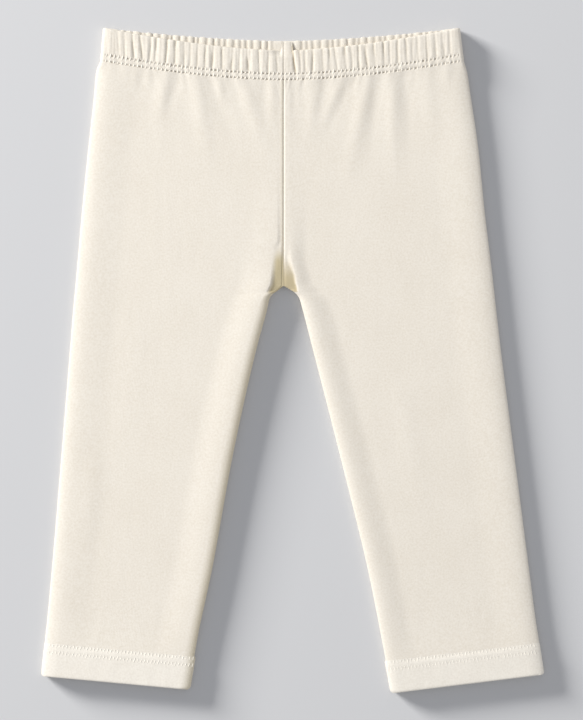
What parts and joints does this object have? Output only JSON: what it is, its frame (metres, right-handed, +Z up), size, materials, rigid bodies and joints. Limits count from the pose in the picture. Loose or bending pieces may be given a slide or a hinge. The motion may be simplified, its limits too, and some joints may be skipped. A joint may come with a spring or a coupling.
{
  "type": "leggings",
  "caption": "Toddler's pull-on leggings in soft stretch jersey, laid flat: straight legs, turned hems and a gathered elastic waistband.",
  "frame": {"origin": "on the surface that the garment lies on, under the middle of its outline", "axes": "+Y from the hems to the waist, +Z up from the surface to the front of the garment, +X to the wearer's left"},
  "size_m": [0.284, 0.3753, 0.0052],
  "materials": {
    "jersey": "brushed stretch jersey, matt",
    "jersey_waistband": "brushed stretch jersey over elastic, gathered, matt",
    "jersey_hem": "brushed stretch jersey, turned double, matt"
  },
  "bodies": {
    "root": {"leg_right": "jersey", "leg_left": "jersey", "waistband_right": "jersey_waistband", "waistband_left": "jersey_waistband", "hem_right": "jersey_hem", "hem_left": "jersey_hem"}
  },
  "joints": []
}
